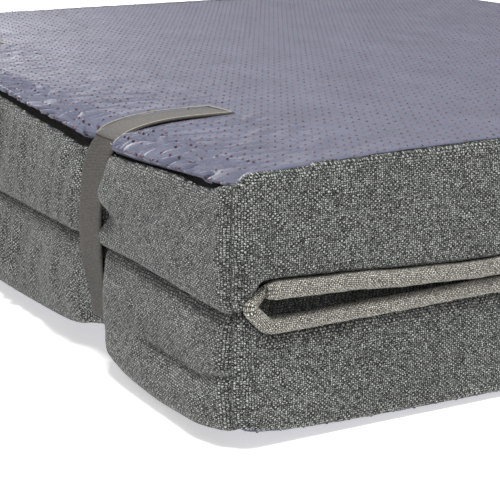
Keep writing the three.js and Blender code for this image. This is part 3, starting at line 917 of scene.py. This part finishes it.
def wall_surface(side, travel, share):
    """A wall's outer surface. Share runs from 0 at the dotted panel to 1 at the knee side."""
    place, out = outline_point(np.mod(travel, OUTLINE))
    x, y = place[..., 0], place[..., 1]
    on_hinge = hinge_share(place, out)
    slot = wall_edge(side, y)
    seam = seam_depth(side, x, y)
    start = height_of(side, slot * on_hinge + (seam + 0.35) * (1 - on_hinge))
    end = knee_edge(side, x, y, on_hinge)
    z = start + (end - start) * share
    tall = np.abs(end - start)
    from_start = share * tall
    from_knee = (1 - share) * tall
    depth = height_of(side, z)
    lip_in = 1.1 * quarter(1 - from_start / 2.6) + SEAM_TURN * np.exp(-from_start / 0.3) * (1 - on_hinge)
    at_crease = CREASE_TUCK[side] * quarter(1 - from_knee / 5)
    at_piping = PIPING_TUCK * quarter(1 - from_knee / 4)
    knee_in = at_crease * on_hinge + at_piping * (1 - on_hinge)
    belly = (WALL_BELLY + HINGE_BELLY * on_hinge) * np.sin(pi * share) ** 0.8
    wave = WALL_WAVE * ripples(travel, z, 46, 21 if side == "upper" else 22, slant=1.4)
    wave = wave * np.sin(pi * share)
    offset = belly + wave - lip_in - knee_in
    offset = offset + on_hinge * hinge_relief(side, y, z, depth, share)
    offset = offset - CORNER_PINCH * np.exp(-from_seam(travel) / 0.8) * ease(share, 0.0, 0.06)
    around = np.mod(travel + HALF_OUTLINE, OUTLINE) - HALF_OUTLINE
    x = x + out[..., 0] * offset
    y = y + out[..., 1] * offset
    return add_folds(("walls", side), share, around, x, y, z)


def hinge_relief(side, y, z, depth, share):
    """Outward relief of the hinge-side wall: the strap's pinch, tucks, puffs and upright folds."""
    gap = strap_gap(y)
    relief = -strap_inset(side, y, depth)
    behind = ease(gap, -STRAP_WIDTH / 2 - 2.2, -STRAP_WIDTH / 2 + 1.2) * (1 - ease(gap, 2, 24))
    relief -= 3.4 * behind * ease(share, 0.0, 0.12)
    corner_side = ease(-gap, 4, 12)
    if side == "upper":
        relief -= 5.2 * bump(z, 56.5, 5.2) * bump(gap, -13, 11) * ease(-gap, 5, 9)
        relief += 0.9 * bump(z, 66, 6) * bump(gap, -20, 18)
        relief += 1.0 * bump(z, 49, 4) * corner_side
    else:
        puff = ease(-gap, 11, 22) * ease(from_end(y), 2, 20)
        relief += 4.2 * bump(z, 10, 9.5) * puff
        relief += 1.8 * bump(z, 31, 8) * puff
        relief += 2.2 * bump(z, 21, 10) * ease(gap, 3, 11) * (1 - ease(gap, 30, 60))
        relief -= 4.0 * bump(z, 34, 9) * bump(gap, -10.5, 4)
        tuck_height = 20.7 + 3.4 * (1 - ease(from_end(y), 4, 20))
        relief -= 1.7 * bump(z, tuck_height, 1.7) * ease(-gap, 42, 58)
    upright = ripples(y + 0.22 * (z - HEIGHT / 2), z * 0.12, 11, 31 if side == "upper" else 32)
    inner = ease(gap, 8, 20) * (1 - ease(gap, 80, 120))
    slant = ripples(y * 0.5 - 0.8 * z, y * 0.2, 17, 41)
    folds = (UPRIGHT_FOLD * inner + 0.16) * upright + 0.35 * slant * corner_side
    return relief + folds * np.sin(pi * share)


def wall(side, name):
    share = np.concatenate([
        [0, 0.012, 0.03, 0.055, 0.085],
        np.linspace(0.085, 0.9, WALL_ROWS - 10)[1:-1],
        [0.9, 0.925, 0.95, 0.975, 0.99, 1.0],
    ])
    share, travel = grid(share, wall_columns(*WALL_RUNS[name]))
    x, y, z = wall_surface(side, travel, share)
    along = travelled(np.stack([x, y], axis=-1)[len(share) // 2])
    cloth = (along + 0 * z, z, 1 + list(WALL_RUNS).index(name))
    cover_panel(side, name, "grey_cloth", (x, y, z), cloth, side == "lower")


# --- Knee panels, piping and the fold ---
def knee_surface(side, x, y):
    """The kneeling face, with x and y on the flat rectangle: crowned up to the middle plane."""
    edge = piping_height(side, x)
    inward = np.minimum(np.minimum(from_end(y), LENGTH - x), x)
    top = HEIGHT / 2 + UP[side] * 0.5 + 1.3 * (1 - ease(x, 20, SPREAD_REACH))
    crown = ease(inward, PIPING_INSET, 13) ** 0.7
    soft = 0.25 * ripples(x, y, 60, 51) * ease(inward, 10, 40)
    return edge + (top - edge) * crown + UP[side] * abs(soft)


def knee_panel(side):
    rows = spaced(2.6, 2.5, 40, 6, LENGTH - 12, 2, LENGTH - 1.8)
    columns = spaced(1.8, 2, 14, 5, WIDTH - 14, 2, WIDTH - 1.8)
    x, y = grid(rows, columns)
    points = (*rounded(x, y), knee_surface(side, x, y))
    cover_panel(side, "knee_panel", "grey_cloth", points, (y, x, 6), side == "lower")


def tube(name, path, radii, sides=16):
    """A closed tube along a path of points, with its cloth coordinates along and round it."""
    path = np.asarray(path, float)
    radii = np.broadcast_to(radii, (len(path),))
    heading = np.gradient(path, axis=0)
    heading /= np.linalg.norm(heading, axis=1, keepdims=True)
    up = np.array([0.0, 1.0, 0.0]) if abs(heading[0, 1]) < 0.9 else np.array([0.0, 0.0, 1.0])
    points, cloth = [], []
    for point, ahead, radius, travel in zip(path, heading, radii, travelled(path)):
        up = up - ahead * np.dot(up, ahead)
        up /= np.linalg.norm(up)
        side = np.cross(ahead, up)
        for corner in range(sides):
            angle = tau * corner / sides
            points.append(point + radius * (cos(angle) * up + sin(angle) * side))
            cloth.append((travel, angle * radius, 7.0))
    return rings_mesh(name, points, sides, cloth)


def piping(side):
    start = HALF_HINGE + ARC + PIPING_END - CORNER_RADIUS
    travel = spaced(start, 1.6, start + 90, 3.2, OUTLINE - start - 90, 1.6, OUTLINE - start)
    place, out = outline_point(travel)
    x, y = (place - out * PIPING_INSET).T
    sway = 0.25 * ripples(travel, travel * 0, 40, 61 if side == "upper" else 62)
    path = np.stack([x, y, piping_height(side, x) + sway], axis=-1)
    swell = 1 + 0.03 * ripples(travel, travel * 0, 9, 63)
    rounded_end = 0.72 + 0.28 * ease(np.minimum(travel - travel[0], travel[-1] - travel), 0, 3)
    cord = tube(f"{side}_piping_cord", path, PIPING_RADIUS * PIPING_SWELL[side] * swell * rounded_end)
    dress(cord, f"{side}_half", "piping_cloth", f"{side}_piping")


def at_end(end, distance):
    """The y at a distance from one end of the pad."""
    return distance if end == "near" else WIDTH - distance


def piping_turn(end):
    """The piping's turn over the fold, which joins the two halves' runs at one end of the pad."""
    low, high = piping_height("lower", PIPING_END), piping_height("upper", PIPING_END)
    middle = HEIGHT / 2 + 1.3
    # x, y outwards from the piping's line, z and the radius as a share of the piping's
    corners = np.array([
        (PIPING_END + 4, 0, low, 1.0), (PIPING_END + 0.4, 0, low, 0.97), (5.6, 0.6, middle, 0.88),
        (PIPING_END - 0.8, -1.6, high - 0.6, 0.66), (PIPING_END + 4, -0.8, high, 0.8),
    ])
    line = [first + (second - first) * t for first, second in zip(corners, corners[1:])
            for t in np.linspace(0, 1, 10, endpoint=False)]
    line = np.array([*line, corners[-1]])
    path = line[:, :3]
    path[:, 1] = at_end(end, PIPING_INSET - path[:, 1])
    for _ in range(9):
        path[1:-1] = (path[:-2] + 2 * path[1:-1] + path[2:]) / 4
    turn = tube(f"{end}_piping_turn", path, PIPING_RADIUS * line[:, 3] * PIPING_SWELL["lower"])
    dress(turn, None, "piping_cloth")
    blend(turn, (0, 0, middle - 3.2), (0, 0, middle + 3.2))


def hinge_web():
    """The cloth that joins the two halves inside the crease."""
    share, y = grid(np.linspace(0, 1, 17), spaced(1.5, 3, WIDTH - 1.5))
    reach = 5.2
    z = run(y, CREASE) + reach * (2 * share - 1)
    x = 3.4 + 0.9 * np.sin(pi * share) + 0.2 * ripples(y, z, 18, 71)
    web = grid_piece("hinge_web_cloth", (x, y, z), (y, z, 8), thickness=0)
    dress(web, None, "grey_cloth", "lower_hinge_web", "upper_hinge_web")
    blend(web, (0, 0, HEIGHT / 2 - 4.5), (0, 0, HEIGHT / 2 + 3.5))
    size_of_grid((x, y, z))


# --- Foam cores ---
FOAM_GAP = 2.2  # from the cover to the foam


def foam_core(side):
    x, y = grid(spaced(5, 5, 60, 10, LENGTH - 5), spaced(5, 8, WIDTH - 5))
    outer = height_of(side, panel_depth(side, x, y) + FOAM_GAP)
    inner = knee_surface(side, x, y) + UP[side] * FOAM_GAP
    px, py = rounded(x, y, 0.5)
    px = np.maximum(px, 7 + strap_inset(side, y, 4.0) * np.exp(-x / 20))
    inwards_x = np.where(x < LENGTH / 2, 1, -1) * (np.minimum(x, LENGTH - x) < 6)
    inwards_y = np.where(y < WIDTH / 2, 1, -1) * (from_end(y) < 6)
    layers = []
    for share, bevel in ((0, 1.6), (0.06, 0), (0.5, 0), (0.94, 0), (1, 1.6)):
        z = outer + (inner - outer) * share
        layers.append(np.stack([px + bevel * inwards_x, py + bevel * inwards_y, z], axis=-1))
    block = block_mesh(f"{side}_foam_block", layers)
    dress(block, f"{side}_half", "foam", f"{side}_foam_core")


def block_mesh(name, layers):
    """A closed block from its outer grid, its inner grid and the rims of the grids between."""
    rows, columns = layers[0].shape[:2]
    index = np.arange(rows * columns).reshape(rows, columns)
    loop = np.concatenate([index[0, :-1], index[:-1, -1], index[-1, :0:-1], index[:0:-1, 0]])
    points = [layers[0].reshape(-1, 3)]
    rims = [loop]
    total = rows * columns
    for layer in layers[1:-1]:
        points.append(layer.reshape(-1, 3)[loop])
        rims.append(np.arange(total, total + len(loop)))
        total += len(loop)
    points.append(layers[-1].reshape(-1, 3))
    rims.append(loop + total)
    faces = [*grid_faces(rows, columns), *(grid_faces(rows, columns, flip=True) + total)]
    for upper, lower in zip(rims[:-1], rims[1:]):
        faces += [*np.stack([upper, np.roll(upper, -1), np.roll(lower, -1), lower], axis=-1)]
    return new_mesh(name, np.concatenate(points), faces)


# --- Straps ---
STRAP_THICKNESS, TAIL_THICKNESS, PATCH_THICKNESS = 0.9, 1.0, 0.6
THREAD_RADIUS = 0.24


def smooth_line(points, spacing):
    """Points about a spacing apart on a smooth curve through a short list of points."""
    points = np.array(points, float)
    padded = np.concatenate([[2 * points[0] - points[1]], points, [2 * points[-1] - points[-2]]])
    result = []
    for index in range(1, len(padded) - 2):
        count = max(2, int(round(np.linalg.norm(padded[index + 1] - padded[index]) / spacing)))
        shares = np.linspace(0, 1, count, endpoint=False)
        result.append(cubic_weights(shares) @ padded[index - 1:index + 3])
    return np.concatenate([*result, points[-1:]])


STRAP_LINE = smooth_line((
    (60, 0.7), (40, 2.6), (24, 6.0), (11, 10.0), (5.5, 13.5), (3.2, 19), (1.2, 28), (0.2, 38), (0.0, 48),
    (0.3, 58), (1.4, 67), (3.0, 73), (5.1, 78), (8.8, 82.8),
), 1.0)  # the strap's (x, z) line round the hinge side, from under the pad to the tail's joint


def tail_line(lowered=0.0):
    """The tail's line from its joint with the strap over the upper face."""
    depths = [(7.4, 8.3), (9.6, 6.5), (13.2, 5.0), (19.5, 3.5), (27.6, 2.5), (38.9, 2.1),
              (TAIL_END - 7.5, 2.1)]
    return smooth_line([(x, HEIGHT - depth - lowered) for x, depth in depths], 1.2)


def band(name, line, half_width, thickness, y_centre, ribs=0.0, lift=None, panel=9):
    """A closed flat band along a line of (x, z) points. lift(share across, travel) raises it."""
    heading = np.gradient(line, axis=0)
    heading /= np.linalg.norm(heading, axis=1, keepdims=True)
    across = np.linspace(-1, 1, 15)
    points, cloth = [], []
    for (x, z), (ahead_x, ahead_z), travel in zip(line, heading, travelled(line)):
        for face in (1, -1):
            for place in across[::face]:
                edge = 1 - 0.45 * abs(place) ** 8
                rib = ribs * sin(tau * travel / 1.1) * (1 - abs(place) ** 4)
                raise_by = lift(place, travel) if lift else 0.0
                out = face * thickness / 2 * edge + rib * (face > 0) + raise_by
                points.append((x - ahead_z * out, y_centre + place * half_width, z + ahead_x * out))
                cloth.append((place * half_width, travel, panel))
    return rings_mesh(name, points, 2 * len(across), cloth)


def strap(end):
    y = at_end(end, STRAP_Y)
    piece = band(f"{end}_strap_band", STRAP_LINE, STRAP_WIDTH / 2 - 0.5, STRAP_THICKNESS, y, ribs=0.06)
    dress(piece, None, "strap_webbing", f"{end}_strap_lower", f"{end}_strap_upper")
    blend(piece, (0, 0, HEIGHT / 2 - 8), (0, 0, HEIGHT / 2 + 8))


def peel(piece):
    """Hands a piece to blend with the places where the tail peels off from its root on the upper half;
    blend only bakes its transform.
    """
    blend(piece, (8, 0, HEIGHT - 6), (30, 0, HEIGHT - 6))


def strap_tail(end):
    line = tail_line()
    outwards = -1 if end == "near" else 1

    def lifted(place, travel):
        return 0.45 * outwards * place * float(ease(travel, 2, 14))

    y = at_end(end, STRAP_Y)
    tape = band(f"{end}_tail_tape", line, STRAP_WIDTH / 2, TAIL_THICKNESS, y, lift=lifted, panel=10)
    dress(tape, None, "hook_tape", f"{end}_strap_tail")
    peel(tape)


def tail_stitches(end):
    """The light threads along the tail's edges, round its end and across its joint with the strap."""
    y = at_end(end, STRAP_Y)
    line = tail_line()
    inset = STRAP_WIDTH / 2 - 0.7
    inwards = inset if end == "near" else -inset
    near_edge = [(x, y - inwards, z + 0.95) for x, z in line[:-1]]
    far_edge = [(x, y + inwards, z + 0.55) for x, z in line[:-1]]
    last_x, last_z = line[-1]
    shares = np.linspace(-0.9, 0.9, 9)
    across = [(last_x - 0.9, y + inwards * t, last_z + 0.75 - 0.2 * t) for t in shares]
    zigzag = []
    for step, t in enumerate(np.linspace(-0.95, 0.95, 27)):
        up = step % 2
        zigzag.append((line[0, 0] + 0.9 + 1.1 * up, y + inset * t, line[0, 1] + 1.15 + 0.85 * up))
    for name, points in (("edge", near_edge + across + far_edge[::-1]), ("joint", zigzag)):
        threads = tube(f"{end}_tail_{name}_stitches", points, THREAD_RADIUS, sides=6)
        dress(threads, None, "strap_webbing", material="stitch_thread")
        peel(threads)


def loop_patch(end):
    line = tail_line(0.95)[8:-3]
    half_width = STRAP_WIDTH / 2 - 1.5
    y = at_end(end, STRAP_Y)
    patch = band(f"{end}_loop_patch_tape", line, half_width, PATCH_THICKNESS, y, panel=11)
    dress(patch, "upper_half", "hook_tape", f"{end}_loop_patch")


# --- Zips ---
def zip_path(side, y):
    """Height of the middle of the zip's slot."""
    middle = (panel_edge(side, y) + wall_edge(side, y)) / 2
    at_other_stop = bump(y, WIDTH - SLIDER_Y, 14)
    return height_of(side, middle + (HEIGHT - SLIDER_HEIGHT - middle) * at_other_stop)


def zip_tapes(side):
    share, y = grid(np.linspace(0, 1, 7), spaced(5, 2, WIDTH - 5))
    inward = strap_inset(side, y, panel_edge(side, y))
    middle = zip_path(side, y)
    for which, edge, toward in (("base", panel_edge, UP[side]), ("wall", wall_edge, -UP[side])):
        lip = height_of(side, edge(side, y)) + toward * 0.5
        x = 1.6 + inward + (TAPE_X - 1.8) * share ** 0.8
        z = lip + (middle + toward * 0.15 - lip) * share
        name = f"{side}_zip_tape_{which}"
        tape = grid_piece(f"{name}_cloth", (x, y, z), (y, share * 6, 12), thickness=0.5)
        dress(tape, f"{side}_half", "zip_tape", name)


def zip_coil(side):
    """The zip's closed coil: one fine thread wound along the slot."""
    pitch, half_height, half_depth, turn_steps = 1.35, 1.1, 0.6, 8
    turns = int((WIDTH - 2 * ZIP_START) / pitch)
    angle = np.linspace(0, tau * turns, turns * turn_steps + 1)
    y = ZIP_START + pitch * angle / tau
    x = COIL_X + strap_inset(side, y, panel_edge(side, y)) + half_depth * np.cos(angle)
    z = zip_path(side, y) + half_height * np.sin(angle)
    thread = tube(f"{side}_zip_coil_thread", np.stack([x, y, z], axis=-1), 0.3, sides=5)
    dress(thread, f"{side}_half", "zip_coil", f"{side}_zip_coil")


def zip_hardware(side):
    for node in ("zip_slider", "zip_puller", "zip_top_stop", "zip_bottom_stop"):
        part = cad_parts[f"{side}_{node}"]
        part.data.materials.clear()
        part.data.materials.append(MATERIALS["zip_metal"])


make_camera()
make_studio()
settle_panel("upper")
for half in UP:
    settle_walls(half)
for half in UP:
    dotted_panel(half)
    panel_dots(half)
    for wall_name in WALL_RUNS:
        wall(half, wall_name)
    knee_panel(half)
    piping(half)
    foam_core(half)
    zip_tapes(half)
    zip_coil(half)
    zip_hardware(half)
hinge_web()
for pad_end in ("near", "far"):
    piping_turn(pad_end)
    strap(pad_end)
    loop_patch(pad_end)
    strap_tail(pad_end)
    tail_stitches(pad_end)
